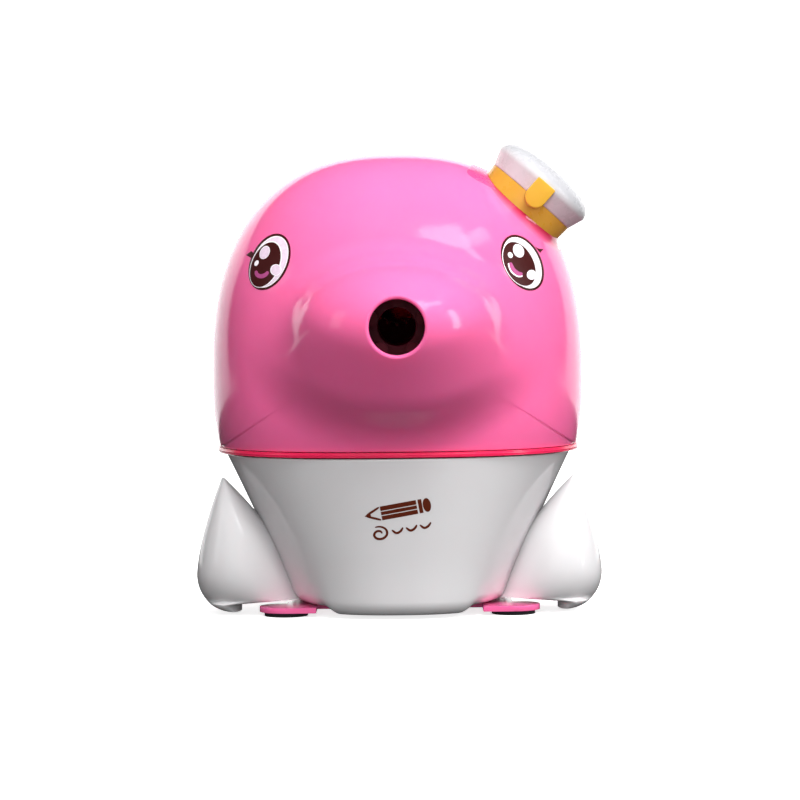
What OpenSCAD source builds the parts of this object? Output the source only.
// Hand-cranked desk pencil sharpener shaped as a little sea animal in a sailor cap.
// Units are millimetres. +Z is up, the snout points along -Y and the crank is at +Y.
// The origin is at the middle of the footprint, on the surface that it stands on.

/* [Head] */
// Largest half width of the head
head_a = 43.2; // [40:0.1:46]
// Half depth of the head towards the snout
head_front = 42; // [38:0.5:46]
// Half depth of the head towards the crank
head_rear = 44; // [40:0.5:46]
// Height of the head's widest level
head_mid_z = 54.2; // [50:0.1:58]
// Rise of the head above its widest level
head_rise = 51.7; // [46:0.1:56]
// Drop of the full head form below its widest level
head_drop = 43.5; // [40:0.1:50]
// Squareness of the head's curves, where 2 is an ellipse
head_power = 2.45; // [2:0.05:3]
// Height of the seam under the head
seam_z = 38.2; // [35:0.1:39]
// Wall thickness of the moulded shells
wall = 2; // [1.6:0.1:2.4]

/* [Snout] */
// Height of the pencil hole's axis
axis_z = 66.3; // [64:0.1:68]
// Half sizes of the snout's upper form
snout_size = [23.5, 26, 15.5]; // [10:0.5:30]
// Depth of the snout forms' centres in front of the head's centre
snout_y = 36; // [32:0.5:38]
// Half sizes of the swelling under the snout
chin_size = [26, 24, 17]; // [10:0.5:30]
// Height of the swelling's centre
chin_z = 59; // [56:0.5:62]
// Width of the soft blend between snout and head
blend = 7; // [3:0.5:9]
// Radius of the round hole in the snout
nose_hole_r = 6.05; // [5.5:0.05:7]
// Radius of the guide's bore, for pencils up to 8 mm across
pencil_bore_r = 4.2; // [4:0.05:4.5]

/* [Belly] */
// Half width of the belly just under the seam
belly_top_a = 40.2; // [38:0.1:41]
// Half width of the belly at its foot
belly_foot_a = 25.4; // [22:0.1:27]
// Half depth of the belly's front just under the seam
belly_top_front = 41; // [38:0.5:42]
// Half depth of the belly's front at its foot
belly_foot_front = 35; // [30:0.5:38]
// Half depth of the rear housing just under the seam
belly_top_rear = 43; // [40:0.5:44]
// Half depth of the rear housing at its foot
belly_foot_rear = 37; // [34:0.5:40]
// How late the belly flares towards the seam
belly_flare = 1.12; // [1:0.02:2]
// Height of the underside of the belly
belly_bottom_z = 2.5; // [2.4:0.1:3]
// Rounding of the belly's lower edge
belly_round = 2.6; // [1:0.1:4]

/* [Cap] */
// Middle of the cap's lower edge: right, back, up
cap_base = [28.8, -11, 92.6]; // [-20:0.1:100]
// Lean of the cap to the side
cap_lean = 41.6; // [30:0.1:50]
// Nod of the cap to the front
cap_nod = 1; // [0:0.5:5]
// Slant of the band's lower edge, which is lower in front
cap_slant = 9.5; // [0:0.5:12]
// Radius of the cap's lower edge
cap_r = 11; // [10:0.1:12]
// Radius where the crown starts above the band
cap_mid_r = 11.25; // [10.5:0.05:12]
// Radius of the crown's widest edge
cap_top_r = 12.6; // [11.5:0.1:14]
// Height of the coloured band at its sides
band_h = 3.7; // [3:0.1:4.5]
// Height of the cap's side in all
cap_h = 7.6; // [6:0.1:8]
// Height of the crown's puffed top above its side
crown_rise = 4.7; // [2:0.1:6]
// Depth of the inlaid pad's surface below the head's
pad_sink = 0.3; // [0.1:0.1:0.6]
// Reach of the pad past the cap's middle, towards the top of the head
pad_reach = 15.2; // [13:0.1:17]
// Half depth of the pad
pad_half = 9.5; // [8:0.1:10.5]

/* [Mechanism] */
// Angle between the cutter's axle and the pencil
cutter_tilt = 10; // [8:0.5:12]
// Distance behind the head's centre of the point where both axes meet
apex_y = 41.65; // [40:0.05:43]
// Teeth of the fixed ring gear
ring_teeth = 30; // [30:30]
// Teeth of the cutter's pinion
pinion_teeth = 16; // [16:16]
// Radius of the helical cutter
cutter_r = 5.3; // [5:0.1:5.5]
// Radius of the crank shaft
shaft_r = 3; // [2.5:0.1:3.5]
// Distance from the shaft to the crank's knob
crank_throw = 42; // [36:0.5:44]
// Radius of the crank's knob
knob_r = 6.5; // [5:0.1:7.5]

/* [Hidden] */
$fn = 64;

// Colours of the mouldings and the metal
PINK = [1, 0.45, 0.72];
DEEP_PINK = [0.8, 0.1, 0.3];
WHITE = [0.95, 0.94, 0.94];
YELLOW = [0.93, 0.75, 0.3];
BLACK = [0.08, 0.08, 0.08];
DARK_RED = [0.35, 0.03, 0.06];
STEEL = [0.75, 0.76, 0.78];
BRASS = [0.8, 0.65, 0.3];
CLEAR = [0.95, 0.85, 0.9];

// The head's centre lies this far from the origin, so that the footprint is centred
head_y = -6.75;
// Gap between neighbouring mouldings
gap = 0.3;
// Running clearance of a shaft in its hole
running = 0.06;
// Clearance of a fixed pin in its seat
seat = 0.03;

// Lip and deck
deck_top_z = seam_z - 0.1;
deck_bottom_z = seam_z - 1.2;
belly_top_z = deck_bottom_z - gap;

// Foot of the whole object
pad_h = 1;
plate_top_z = belly_bottom_z - gap;
housing_floor_z = 4;
drawer_floor_z = 4.3;

// Bevel pair: both gears taper towards the point where the axes meet
pinion_cone = atan(sin(cutter_tilt) / (ring_teeth / pinion_teeth - cos(cutter_tilt)));
ring_cone = pinion_cone + cutter_tilt;
gear_near = 24.2;
gear_far = 29.4;

// Depths along the pencil axis, from the head's centre
guide_front_y = -51.5;
guide_rear_y = -18.4;
carrier_front_y = -22;
carrier_plate = 4;
carrier_rear_y = 19.4;
carrier_disc = 5.6;
arm_y = 47.4;
arm_t = 4.2;
knob_y = arm_y + arm_t + 0.4;
knob_len = 22.6;

// ---------- forms shared by several mouldings ----------

function clamp01(v) = min(1, max(0, v));

function soft_min(a, b, k) =
    let (h = clamp01(0.5 + 0.5 * (b - a) / k))
    b * (1 - h) + a * h - k * h * (1 - h);

function ellipsoid_gap(p, c, s) =
    let (q = [for (i = [0:2]) (p[i] - c[i]) / s[i]])
    (norm(q) - 1) * (s[0] + s[1] + s[2]) / 3;

function head_gap(p, t) =
    let (b = p[1] < 0 ? head_front - t : head_rear - t)
    let (c = p[2] > head_mid_z ? head_rise - t : head_drop - t)
    let (x = pow(abs(p[0]) / (head_a - t), head_power))
    let (y = pow(abs(p[1]) / b, head_power))
    let (z = pow(abs(p[2] - head_mid_z) / c, head_power))
    (pow(x + y + z, 1 / head_power) - 1) * head_a;

// Signed distance, roughly, from the head's outer surface moved inwards by t
function face_gap(p, t) =
    let (snout = ellipsoid_gap(p, [0, -snout_y, axis_z], snout_size - [t, t, t]))
    let (chin = ellipsoid_gap(p, [0, -snout_y + 4, chin_z], chin_size - [t, t, t]))
    soft_min(head_gap(p, t), soft_min(snout, chin, 4), blend);

function ray_hit(o, d, t, lo, hi, n) =
    n == 0 ? o + d * (lo + hi) / 2 :
    let (m = (lo + hi) / 2)
    face_gap(o + d * m, t) < 0 ? ray_hit(o, d, t, m, hi, n - 1) : ray_hit(o, d, t, lo, m, n - 1);

// A half dome of columns from angle a0 to a0 + 180 and rows up to the pole
function dome_points(a0, cols, rows, t) = [
    for (i = [0:cols])
        for (j = [0:rows - 1])
            let (a = a0 + 180 * i / cols)
            let (e = 90 * j / rows)
            ray_hit([0, 0, seam_z], [cos(a) * cos(e), sin(a) * cos(e), sin(e)], t, 10, 90, 22)
];

function skin_faces(cols, rows) =
    let (inner = (cols + 1) * rows)
    let (pole = 2 * inner)
    concat(
        [for (i = [0:cols - 1]) for (j = [0:rows - 2])
            let (k = i * rows + j)
            [k, k + 1, k + rows + 1, k + rows]],
        [for (i = [0:cols - 1]) for (j = [0:rows - 2])
            let (k = inner + i * rows + j)
            [k, k + rows, k + rows + 1, k + 1]],
        [for (i = [1:cols])
            let (k = i * rows - 1)
            [k, pole, k + rows]],
        [for (i = [1:cols])
            let (k = inner + i * rows - 1)
            [k, k + rows, pole + 1]]
    );

function edge_faces(cols, rows) =
    let (inner = (cols + 1) * rows)
    let (last = cols * rows)
    let (pole = 2 * inner)
    concat(
        [for (i = [0:cols - 1])
            let (k = i * rows)
            [k, k + rows, inner + k + rows, inner + k]],
        [for (j = [0:rows - 2]) [j + 1, j, inner + j, inner + j + 1]],
        [for (j = [0:rows - 2])
            let (k = last + j)
            [k, k + 1, inner + k + 1, inner + k]],
        [[pole, rows - 1, inner + rows - 1, pole + 1]],
        [[last + rows - 1, pole, pole + 1, inner + last + rows - 1]]
    );

function reversed(faces) = [for (f = faces) [for (k = [len(f) - 1:-1:0]) f[k]]];

module half_dome(a0, cols, rows) {
    top = head_mid_z + head_rise;
    polyhedron(
        points = concat(
            dome_points(a0, cols, rows, 0),
            dome_points(a0, cols, rows, wall),
            [[0, 0, top], [0, 0, top - wall]]
        ),
        faces = concat(skin_faces(cols, rows), edge_faces(cols, rows)),
        convexity = 6
    );
}

// The solid form of a front half bowl, to fit other pieces against
module belly_form(a0, cols, rows) {
    last = cols * rows;
    pole = last + rows;
    core = pole + 1;
    polyhedron(
        points = concat(
            bowl_points(a0, cols, rows, true, belly_bottom_z, 0),
            [[0, 0, belly_bottom_z], [0, 0, belly_top_z]]
        ),
        faces = reversed(concat(
            [for (i = [0:cols - 1]) for (j = [0:rows - 2])
                let (k = i * rows + j)
                [k, k + 1, k + rows + 1, k + rows]],
            [for (i = [1:cols])
                let (k = i * rows - 1)
                [k, pole, k + rows]],
            [for (i = [0:cols - 1]) [i * rows, (i + 1) * rows, core]],
            [for (j = [0:rows - 2]) [j + 1, j, core]],
            [for (j = [0:rows - 2]) [last + j, last + j + 1, core]],
            [[pole, rows - 1, core], [last + rows - 1, pole, core]]
        )),
        convexity = 6
    );
}

// Share of the way from the belly's foot to the seam, bent by the flare
function flare(z) = pow(clamp01((z - belly_bottom_z) / (belly_top_z - belly_bottom_z)), belly_flare);

// How far the rounded lower edge draws in at height z
function round_in(z) =
    let (d = max(0, belly_round - (z - belly_bottom_z)))
    belly_round - sqrt(max(0, belly_round * belly_round - d * d));

function belly_width(z) = belly_foot_a + (belly_top_a - belly_foot_a) * flare(z) - round_in(z);

function belly_depth(z, front) =
    front ? belly_foot_front + (belly_top_front - belly_foot_front) * flare(z) - round_in(z)
          : belly_foot_rear + (belly_top_rear - belly_foot_rear) * flare(z) - round_in(z);

function signed_pow(v, e) = sign(v) * pow(abs(v), e);

function oval(a, w, d, p) = [w * signed_pow(cos(a), 2 / p), d * signed_pow(sin(a), 2 / p)];

// Heights of a bowl's rows: close together on the rounded edge, then wider
function row_z(j, rows, low) =
    let (bend = 5)
    j >= rows - bend
        ? low + belly_round * (1 - cos(90 * (rows - 1 - j) / bend))
        : low + belly_round + (belly_top_z - low - belly_round) * (1 - j / (rows - bend));

function bowl_points(a0, cols, rows, front, low, t) = [
    for (i = [0:cols])
        for (j = [0:rows - 1])
            let (z = row_z(j, rows, low))
            let (o = oval(a0 + 180 * i / cols, belly_width(z) - t, belly_depth(z, front) - t, head_power))
            [o[0], o[1], z]
];

module half_bowl(a0, cols, rows, front, floor_z) {
    polyhedron(
        points = concat(
            bowl_points(a0, cols, rows, front, belly_bottom_z, 0),
            bowl_points(a0, cols, rows, front, floor_z, wall),
            [[0, 0, belly_bottom_z], [0, 0, floor_z]]
        ),
        faces = reversed(concat(skin_faces(cols, rows), edge_faces(cols, rows))),
        convexity = 6
    );
}

// ---------- placing helpers ----------

// Moves a form given from the head's centre to the object's origin
module placed() {
    translate([0, head_y, 0]) children();
}

// Local +Z runs forward along the pencil axis, from depth y
module on_axis(y) {
    translate([0, y, axis_z]) rotate([90, 0, 0]) children();
}

// Local +Z runs forward along the cutter's axle, from where the two axes meet
module on_cutter_axis() {
    translate([0, apex_y, axis_z]) rotate([90 - cutter_tilt, 0, 0]) children();
}

// Local +Z runs up through the cap from its lower edge
module on_cap() {
    translate(cap_base) rotate([cap_nod, 0, 0]) rotate([0, cap_lean, 0]) children();
}

// ---------- shell posts and screws ----------

post_r = 3.2;
post_h = 9;
post_hole_r = 1.2;
shell_posts = [[26.5, -24.5], [-26.5, -24.5], [26.5, 25.5], [-26.5, 25.5]];

module shell_post(at) {
    turn = atan2(at[1], at[0]);
    translate([at[0], at[1], seam_z]) {
        cylinder(r = post_r, h = post_h);
        rotate([0, 0, turn]) translate([0, -0.9, 0]) cube([7.4, 1.8, post_h]);
    }
}

module post_hole(at) {
    translate([at[0], at[1], deck_bottom_z - 1]) cylinder(r = post_hole_r, h = post_h);
}

module pan_screw(shank_r, shank_h, head_r, head_h) {
    cylinder(r = shank_r, h = shank_h);
    difference() {
        translate([0, 0, -head_h]) cylinder(r = head_r, h = head_h);
        for (turn = [0, 90]) {
            rotate([0, 0, turn]) translate([-head_r * 0.6, -0.3, -head_h - 1]) cube([head_r * 1.2, 0.6, 1.6]);
        }
    }
}

// ---------- housing ----------

// Round feet beside the belly, joined to the plate by arms
foot_x = 26;
foot_front_y = -21.5;
foot_rear_y = 24;
foot_r = 6.1;
arm_w = 7;
// Room in the plate for the apron under the drawer's front
notch_l = 17;
foot_places = [
    [foot_x, foot_front_y], [-foot_x, foot_front_y], [foot_x, foot_rear_y], [-foot_x, foot_rear_y]
];
base_holes = [[8, 31.5], [-8, 31.5], [17.9, 6], [-17.9, 6]];

module base_plate() {
    color(PINK) placed() difference() {
        union() {
            translate([0, 0, pad_h]) linear_extrude(plate_top_z - pad_h) polygon([for (k = [0:63])
                let (deep = k < 32 ? belly_foot_rear - 2 : belly_foot_front - 4)
                oval(k * 5.625, belly_foot_a - 3, deep, head_power)
            ]);
            for (at = foot_places) {
                translate([at[0], at[1], pad_h]) cylinder(r = foot_r, h = plate_top_z - pad_h);
            }
            for (y = [foot_front_y, foot_rear_y]) {
                translate([-foot_x, y - foot_r, pad_h])
                    cube([2 * foot_x, 2 * foot_r, plate_top_z - pad_h]);
            }
            for (x = [-foot_x, foot_x - arm_w]) {
                translate([x, foot_front_y, pad_h])
                    cube([arm_w, foot_rear_y - foot_front_y, plate_top_z - pad_h]);
            }
        }
        translate([arm_w - foot_x, -belly_foot_front, 0])
            cube([2 * (foot_x - arm_w), notch_l, plate_top_z + 1]);
        for (at = base_holes) {
            translate([at[0], at[1], 0]) cylinder(r = 1.15, h = 4);
        }
    }
}

module foot_pads() {
    color(BLACK) placed() for (at = foot_places) {
        translate([at[0], at[1], 0]) cylinder(r = 5, h = pad_h);
    }
}

module lower_housing() {
    color(PINK) placed() difference() {
        union() {
            translate([0, gap / 2, 0]) half_bowl(0, 32, 14, false, housing_floor_z);
            for (at = base_holes) {
                translate([at[0], at[1], belly_bottom_z]) cylinder(r = 2.3, h = 3.2);
            }
        }
        for (at = base_holes) {
            translate([at[0], at[1], 0]) cylinder(r = 1.15, h = 5);
        }
    }
}

// Two strips that keep the drawer's tray straight
module drawer_rails() {
    color(PINK) placed() for (side = [-1, 1]) {
        translate([side * 15.9 - 0.6, 11, housing_floor_z]) cube([1.2, 12, 2]);
    }
}

module chassis_deck() {
    color(DEEP_PINK) placed() difference() {
        translate([0, 0, deck_bottom_z]) linear_extrude(deck_top_z - deck_bottom_z)
            polygon([for (k = [0:191])
                let (a = k * 1.875)
                oval(a, head_a - 1.15, a < 180 ? head_rear - 1.2 : head_front - 0.5, head_power)]);
        translate([-17, -24, deck_bottom_z - 1]) cube([34, 31, 4]);
        for (at = shell_posts) post_hole(at);
    }
}

module front_shell() {
    color(PINK) placed() difference() {
        union() {
            translate([0, -0.1, 0]) half_dome(180, 48, 18);
            for (k = [0, 1]) shell_post(shell_posts[k]);
        }
        on_axis(-40) cylinder(r = nose_hole_r, h = 40);
        cap_recess();
        for (k = [0, 1]) post_hole(shell_posts[k]);
    }
}

module rear_shell() {
    color(PINK) placed() difference() {
        union() {
            translate([0, 0.1, 0]) half_dome(0, 36, 14);
            for (k = [2, 3]) shell_post(shell_posts[k]);
        }
        on_axis(50) cylinder(r = 6.1, h = 20);
        for (k = [2, 3]) post_hole(shell_posts[k]);
    }
}

module shell_screws() {
    color(STEEL) placed() for (at = shell_posts) {
        translate([at[0], at[1], deck_bottom_z]) pan_screw(post_hole_r - seat, 6.5, 2.2, 1.3);
    }
}

module base_screws() {
    color(STEEL) placed() for (at = base_holes) {
        translate([at[0], at[1], pad_h]) pan_screw(1.1, 3.9, 2, 0.7);
    }
}

// ---------- cap ----------

cap_skin = 1.4;

// Pad's outline from the cap's middle: long towards the top of the head
function pad_outline(a, grow) =
    oval(a, cos(a) < 0 ? pad_reach + grow : cap_r - 5, pad_half + grow, 6);

// Round seat for the cap and notch for its pad, cut through the front shell
module cap_recess() {
    on_cap() translate([0, 0, -8]) {
        cylinder(r = cap_r + gap, h = 30);
        linear_extrude(30) polygon([for (k = [0:39]) pad_outline(9 * k, 0.2)]);
    }
}

// Everything above the band's slanted lower edge
module above_slant() {
    size = 60;
    rotate([cap_slant, 0, 0]) translate([-size / 2, -size / 2, 0]) cube(size);
}

// Neck under the band, which plugs into the seat
module cap_pedestal() {
    color(DEEP_PINK) placed() on_cap() difference() {
        translate([0, 0, -6]) cylinder(r = cap_r - 0.1, h = 8);
        above_slant();
    }
}

// A point of the head's surface moved outwards by t, on the cap's own lines
function cap_turned(p) =
    let (x = p[0] * cos(cap_lean) + p[2] * sin(cap_lean))
    let (z = p[2] * cos(cap_lean) - p[0] * sin(cap_lean))
    [x, p[1] * cos(cap_nod) - z * sin(cap_nod), p[1] * sin(cap_nod) + z * cos(cap_nod)];

function pad_point(u, v, t) =
    ray_hit(cap_base + cap_turned([u, v, -20]), cap_turned([0, 0, 1]), t, 0, 40, 22);

// Inlaid pad that follows the head; its middle is open for the cap's neck
module cap_saddle() {
    rings = 8;
    spokes = 40;
    sheet = rings * spokes;
    grid = [for (r = [1:rings]) for (k = [0:spokes - 1]) pad_outline(360 * k / spokes, 0) * r / rings];
    points = concat(
        [for (p = grid) pad_point(p[0], p[1], pad_sink)],
        [for (p = grid) pad_point(p[0], p[1], pad_sink + wall)],
        [pad_point(0, 0, pad_sink), pad_point(0, 0, pad_sink + wall)]
    );
    quads = [for (r = [0:rings - 2]) for (k = [0:spokes - 1])
        let (n = (k + 1) % spokes)
        [r * spokes + k, (r + 1) * spokes + k, (r + 1) * spokes + n, r * spokes + n]];
    middle = [for (k = [0:spokes - 1]) [2 * sheet, k, (k + 1) % spokes]];
    rim = [for (k = [0:spokes - 1])
        let (o = sheet - spokes + k)
        let (n = sheet - spokes + (k + 1) % spokes)
        [o, sheet + o, sheet + n, n]];
    under = reversed([for (f = quads) [for (k = f) k + sheet]]);
    under_middle = reversed([for (f = middle) [f[0] + 1, f[1] + sheet, f[2] + sheet]]);
    color(DEEP_PINK) placed() difference() {
        polyhedron(points = points, faces = reversed(concat(quads, middle, rim, under, under_middle)));
        on_cap() translate([0, 0, -12]) cylinder(r = cap_r + gap / 2, h = 30);
    }
}

module cap_band() {
    low = -cap_r * sin(cap_slant) - 0.2;
    color(YELLOW) placed() on_cap() intersection() {
        difference() {
            union() {
                translate([0, 0, low]) cylinder(r = cap_r, h = -low);
                cylinder(r1 = cap_r, r2 = cap_mid_r, h = band_h);
            }
            translate([0, 0, 2.2]) cylinder(r = cap_r - cap_skin, h = band_h);
        }
        above_slant();
    }
}

// Puffed crown: a flared side under a dome
module cap_crown() {
    steps = 10;
    dome = [for (k = [0:steps])
        let (a = 90 * k / steps)
        [cap_top_r * pow(cos(a), 2 / 2.2), cap_h + crown_rise * pow(sin(a), 2 / 2.2)]];
    hollow = [for (k = [steps:-1:0])
        let (a = 90 * k / steps)
        [(cap_top_r - cap_skin) * pow(cos(a), 2 / 2.2), cap_h + (crown_rise - cap_skin) * pow(sin(a), 2 / 2.2)]];
    color(WHITE) placed() on_cap() rotate_extrude() polygon(concat(
        [[cap_mid_r, band_h]], dome, hollow, [[cap_mid_r - cap_skin, band_h]]
    ));
}

// Shield on the cap's front with a flat top and a round foot
module cap_badge() {
    badge_r = 2.5;
    badge_h = 4;
    badge_t = 1.2;
    low = 3.8;
    turn = 2.5;
    color(YELLOW) placed() on_cap() rotate([0, 0, turn]) translate([0, -cap_mid_r - 0.75, low + 0.2])
        rotate([90, 0, 0]) linear_extrude(badge_t) union() {
            translate([-badge_r, 0]) square([2 * badge_r, badge_h]);
            circle(r = badge_r);
        }
}

// ---------- pencil guide ----------

guide_r = 6;
bracket_y = -36;
bracket_t = 4;

// Rubber ring with five soft lobes that steady the pencil
module centering_ring() {
    ring_t = 3;
    lobe_r = 1.6;
    color(DARK_RED) placed() on_axis(guide_front_y) linear_extrude(ring_t) union() {
        difference() {
            circle(r = 7.4);
            circle(r = 6.1);
        }
        for (k = [0:4]) {
            rotate([0, 0, 90 + 72 * k]) translate([6.1, 0]) circle(r = lobe_r);
        }
    }
}

module pencil_guide() {
    color(DARK_RED) placed() on_axis(guide_rear_y) difference() {
        union() {
            cylinder(r = guide_r, h = guide_rear_y - guide_front_y);
            translate([0, 0, guide_rear_y - guide_front_y - 1.6]) cylinder(r = 7.4, h = 1.6);
        }
        translate([0, 0, -1]) cylinder(r = pencil_bore_r, h = guide_rear_y - guide_front_y + 2);
    }
}

guide_screws = [[11.5, -34], [-11.5, -34]];

module guide_bracket() {
    color(WHITE) placed() difference() {
        union() {
            on_axis(bracket_y + bracket_t) cylinder(r = 9, h = bracket_t);
            translate([-7, bracket_y, deck_top_z]) cube([14, bracket_t, axis_z - deck_top_z]);
            translate([-14, bracket_y - 0.5, deck_top_z]) cube([28, bracket_t + 2, 2.4]);
        }
        on_axis(0) cylinder(r = guide_r + seat, h = 60);
        for (at = guide_screws) {
            translate([at[0], at[1] + 0.5, deck_top_z - 1]) cylinder(r = 1.23, h = 6);
        }
    }
}

// ---------- gears, carrier and cutter ----------

// Outline of straight-sided teeth: tip and root widths are shares of the tooth pitch
function gear_outline(teeth, r_root, r_tip, root_share, tip_share) = [
    for (k = [0:teeth - 1])
        for (c = [[r_root, -root_share], [r_tip, -tip_share], [r_tip, tip_share], [r_root, root_share]])
            let (a = 90 + (k + c[1] / 2) * 360 / teeth)
            [c[0] * cos(a), c[0] * sin(a)]
];

gear_outer_r = 14.4;
leg_w = 20;
gear_screws = [[15, 15], [-15, 15]];

module gear_housing() {
    pitch_r = gear_far * tan(ring_cone);
    tooth = PI * pitch_r / ring_teeth;
    front_y = apex_y - gear_far;
    rear_y = apex_y - gear_near;
    color(WHITE) placed() difference() {
        union() {
            on_axis(rear_y) cylinder(r = gear_outer_r, h = rear_y - front_y);
            translate([-leg_w / 2, front_y, deck_top_z])
                cube([leg_w, rear_y - front_y, axis_z - 12 - deck_top_z]);
            translate([-18.5, front_y, deck_top_z]) cube([37, rear_y - front_y, 2.4]);
        }
        on_axis(apex_y) translate([0, 0, gear_near - 0.02])
            linear_extrude(gear_far - gear_near + 0.04, scale = (gear_far + 0.02) / (gear_near - 0.02))
                scale(gear_near / gear_far)
                    polygon(gear_outline(ring_teeth, pitch_r - tooth * 0.3, pitch_r + tooth * 0.42, 0.62, 0.44));
        for (at = gear_screws) {
            translate([at[0], at[1], deck_top_z - 1]) cylinder(r = 1.23, h = 6);
        }
    }
}

module bracket_screws() {
    color(STEEL) placed() {
        for (at = gear_screws) {
            translate([at[0], at[1], deck_top_z + 2.4]) mirror([0, 0, 1]) pan_screw(1.2, 2.3, 2.2, 1.3);
        }
        for (at = guide_screws) {
            translate([at[0], at[1] + 0.5, deck_top_z + 2.4]) mirror([0, 0, 1]) pan_screw(1.2, 2.3, 2.2, 1.3);
        }
    }
}

module cutter_pinion() {
    near = gear_near + 0.4;
    far = gear_far + 0.2;
    pitch_r = far * tan(pinion_cone);
    tooth = PI * pitch_r / pinion_teeth;
    color(STEEL) placed() on_cutter_axis() difference() {
        translate([0, 0, near]) linear_extrude(far - near, scale = far / near)
            scale(near / far)
                polygon(gear_outline(pinion_teeth, pitch_r - tooth * 0.36, pitch_r + tooth * 0.28, 0.5, 0.2));
        cylinder(r = axle_r + running, h = 60);
    }
}

axle_r = 1.5;
axle_start = 20;
axle_len = 44.4;
cutter_start = 30.6;
cutter_end = 56;

module helical_cutter() {
    flutes = 18;
    color(STEEL) placed() on_cutter_axis() difference() {
        translate([0, 0, cutter_start])
            linear_extrude(cutter_end - cutter_start, twist = 150, slices = 14)
                polygon(gear_outline(flutes, cutter_r - 0.9, cutter_r, 0.55, 0.2));
        cylinder(r = axle_r + running, h = 90);
    }
}

module cutter_axle() {
    color(STEEL) placed() on_cutter_axis() translate([0, 0, axle_start]) cylinder(r = axle_r, h = axle_len);
}

// Rotating cage: a front ring on the guide, a trough, and a disc on the crank shaft
module cutter_carrier() {
    front_end = carrier_front_y;
    front_back = carrier_front_y + carrier_plate;
    cage_r = 8.2;
    cage_bore = 6.4;
    lug = 10.9;
    color(STEEL) placed() difference() {
        union() {
            on_axis(front_back) cylinder(r = 9, h = carrier_plate);
            translate([-3.6, front_end, axis_z]) cube([7.2, carrier_plate, lug]);
            on_axis(front_back) translate([0, lug, 0]) cylinder(r = 3.6, h = carrier_plate);
            on_axis(carrier_rear_y + carrier_disc) cylinder(r = 10, h = carrier_disc);
            on_axis(carrier_rear_y + 0.5) rotate([0, 0, 192]) rotate_extrude(angle = 156)
                translate([cage_bore, 0]) square([cage_r - cage_bore, carrier_rear_y - front_back + 1]);
        }
        on_axis(front_back + 1) cylinder(r = guide_r + running, h = carrier_plate + 2);
        on_cutter_axis() translate([0, 0, axle_start - 0.1]) cylinder(r = axle_r + seat, h = axle_len + 4);
        on_axis(carrier_rear_y + carrier_disc + 1) cylinder(r = shaft_r + seat, h = 4);
    }
}

module crank_shaft() {
    start_y = carrier_rear_y + carrier_disc - 2.9;
    end_y = arm_y + arm_t;
    color(STEEL) placed() difference() {
        on_axis(end_y) cylinder(r = shaft_r, h = end_y - start_y);
        on_axis(end_y + 1) cylinder(r = 1.25, h = 10);
    }
}

module rear_bush() {
    inner_y = 39.5;
    flange_y = head_rear + 0.3;
    color(BRASS) placed() difference() {
        union() {
            on_axis(flange_y + 1.5) cylinder(r = 6, h = flange_y + 1.5 - inner_y);
            on_axis(flange_y + 1.5) cylinder(r = 8.2, h = 1.5);
        }
        on_axis(60) cylinder(r = shaft_r + running, h = 30);
    }
}

// ---------- crank ----------

knob_pin_r = 2;

module crank_arm() {
    hub_r = 7;
    tip_r = 5.2;
    tip_z = axis_z - crank_throw;
    color(WHITE) placed() difference() {
        union() {
            on_axis(arm_y + arm_t) cylinder(r = hub_r, h = arm_t);
            translate([0, arm_y + arm_t, tip_z]) rotate([90, 0, 0]) cylinder(r = tip_r, h = arm_t);
            translate([0, arm_y + arm_t, 0]) rotate([90, 0, 0]) linear_extrude(arm_t) polygon([
                [-tip_r, tip_z], [tip_r, tip_z], [hub_r, axis_z], [-hub_r, axis_z]
            ]);
        }
        on_axis(arm_y + arm_t + 1) cylinder(r = shaft_r + seat, h = arm_t + 2);
        translate([0, arm_y + arm_t + 1, tip_z]) rotate([90, 0, 0]) cylinder(r = knob_pin_r + seat, h = arm_t + 2);
    }
}

module crank_screw() {
    color(STEEL) placed() translate([0, arm_y + arm_t, axis_z]) rotate([90, 0, 0])
        pan_screw(1.2, 7, 4.2, 1.8);
}

module knob_pin() {
    color(STEEL) placed() translate([0, arm_y, axis_z - crank_throw]) rotate([-90, 0, 0])
        cylinder(r = knob_pin_r, h = arm_t + knob_len - 3);
}

knob_cap_t = 1.6;

module crank_knob() {
    outline = concat(
        [[knob_pin_r + running, 0], [knob_r - 1.6, 0]],
        [for (k = [0:8])
            let (s = k / 8)
            [knob_r - 1 + sin(180 * s) * 1, 0.9 + s * (knob_len - 4.2)]],
        [[knob_r - 1.6, knob_len - 2.2], [knob_r - 1.9, knob_len - knob_cap_t]],
        [[knob_pin_r + running, knob_len - knob_cap_t]]
    );
    color(PINK) placed() translate([0, knob_y, axis_z - crank_throw]) rotate([-90, 0, 0])
        rotate_extrude() polygon(outline);
}

module knob_cap() {
    r = knob_r - 1.9;
    outline = concat([[0, 0], [r, 0]],
        [for (k = [1:6]) [r * cos(k * 15), knob_cap_t * sin(k * 15)]]);
    color(WHITE) placed() translate([0, knob_y + knob_len - knob_cap_t, axis_z - crank_throw])
        rotate([-90, 0, 0]) rotate_extrude() polygon(outline);
}

// ---------- drawer ----------

drawer_cols = 40;
drawer_rows = 16;
tray_front_y = -25;
tray_rear_y = 27;
tray_foot = 14;
tray_top = 25;
tray_top_z = 29.5;
tray_t = 1.4;

// Strip under the drawer's front that hides the base plate
apron_half = foot_x - arm_w - 0.5;
apron_low_z = 0.9;
apron_top_z = 4;
apron_t = 2.4;

function foot_outline(inset) =
    [for (k = [0:95]) oval(k * 3.75, belly_foot_a - inset, belly_foot_front - inset, head_power)];

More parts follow.
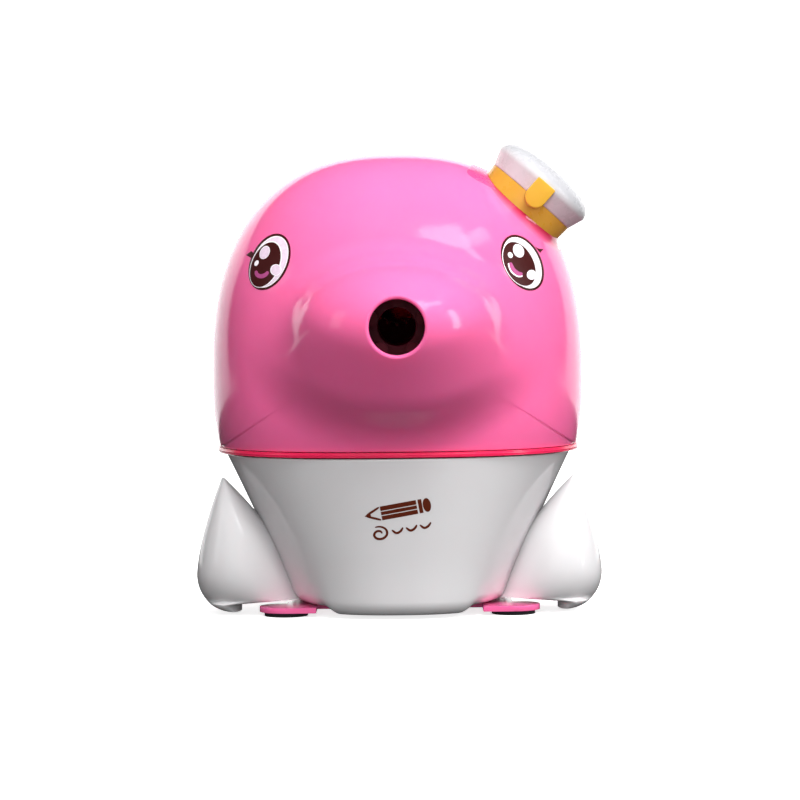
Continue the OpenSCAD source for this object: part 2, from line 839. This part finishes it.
module apron() {
    intersection() {
        translate([0, 0, apron_low_z]) linear_extrude(apron_top_z - apron_low_z) difference() {
            polygon(foot_outline(0));
            polygon(foot_outline(apron_t));
        }
        translate([-apron_half, -belly_foot_front - 1, 0])
            cube([2 * apron_half, belly_foot_front, apron_top_z + 1]);
    }
}

module drawer_front() {
    color(WHITE) placed() translate([0, -gap / 2, 0]) {
        half_bowl(180, drawer_cols, drawer_rows, true, drawer_floor_z);
        apron();
    }
}

module tray_section(grow, z0, top) {
    slope = (tray_top - tray_foot) / (tray_top_z - drawer_floor_z);
    foot = tray_foot + grow + slope * (z0 - drawer_floor_z);
    head = tray_foot + grow + slope * (top - drawer_floor_z);
    polygon([[-foot, z0], [foot, z0], [head, top], [-head, top]]);
}

module drawer_tray() {
    color(CLEAR) placed() difference() {
        translate([0, tray_rear_y, 0]) rotate([90, 0, 0]) linear_extrude(tray_rear_y - tray_front_y)
            tray_section(0, drawer_floor_z, tray_top_z);
        translate([0, tray_rear_y - tray_t, 0]) rotate([90, 0, 0])
            linear_extrude(tray_rear_y - tray_front_y - 2 * tray_t)
                tray_section(-tray_t, drawer_floor_z + tray_t, tray_top_z + 1);
    }
}

// Flipper: a stack of ovals from its round lower lobe up to its pointed tip
fin_low_z = 0.7;
fin_tip_z = 31.3;
fin_y = -14;
fin_keel = 36.5;

function fin_share(z) = (z - fin_low_z) / (fin_tip_z - fin_low_z);

// Outer edge: bulges at a fifth of the height and leans in towards the tip
function fin_outer(z) =
    let (s = fin_share(z))
    let (low = sqrt(max(0, 1 - pow(1 - min(1, s / 0.27), 2))))
    39.6 + 7.2 * low - 6 * pow(max(0, s - 0.27) / 0.73, 1.5);

// Inner edge: just inside the belly, but at the foot it stays clear of the round feet
function fin_inner(z) =
    let (s = fin_share(z))
    let (root = belly_width(z) - 2.5)
    let (rise = clamp01((s - 0.035) / 0.045))
    fin_keel - (fin_keel - root) * pow(rise, 4) + 5.2 * pow(max(0, s - 0.5) / 0.5, 1.6);

function fin_half_depth(z) =
    let (s = fin_share(z))
    10.5 * pow(max(0.001, sin(180 * pow(0.04 + 0.96 * s, 0.62))), 0.6);

module fin(side) {
    cols = 24;
    rows = 18;
    levels = [for (j = [0:rows - 1]) fin_low_z + (fin_tip_z - fin_low_z) * (1 - cos(180 * j / (rows - 1))) / 2];
    points = [for (z = levels) for (i = [0:cols - 1])
        let (mid = (fin_outer(z) + fin_inner(z)) / 2)
        let (half = max(0.25, (fin_outer(z) - fin_inner(z)) / 2))
        let (o = oval(360 * i / cols, half, max(0.4, fin_half_depth(z)), 2))
        [side * (mid + o[0]), fin_y + o[1], z]];
    sides = [for (j = [0:rows - 2]) for (i = [0:cols - 1])
        let (n = (i + 1) % cols)
        [j * cols + i, (j + 1) * cols + i, (j + 1) * cols + n, j * cols + n]];
    ends = [[for (i = [0:cols - 1]) i], [for (i = [cols - 1:-1:0]) (rows - 1) * cols + i]];
    faces = concat(sides, ends);
    difference() {
        polyhedron(points = points, faces = side > 0 ? faces : reversed(faces), convexity = 4);
        translate([0, -gap / 2, 0]) belly_form(180, drawer_cols, drawer_rows);
    }
}

module left_fin() {
    color(WHITE) placed() fin(-1);
}

module right_fin() {
    color(WHITE) placed() fin(1);
}

base_plate();
foot_pads();
lower_housing();
drawer_rails();
chassis_deck();
front_shell();
rear_shell();
cap_saddle();
cap_pedestal();
cap_band();
cap_crown();
cap_badge();
centering_ring();
pencil_guide();
guide_bracket();
gear_housing();
rear_bush();
shell_screws();
bracket_screws();
base_screws();
cutter_carrier();
crank_shaft();
crank_arm();
crank_screw();
cutter_axle();
knob_pin();
helical_cutter();
cutter_pinion();
crank_knob();
knob_cap();
drawer_front();
drawer_tray();
left_fin();
right_fin();
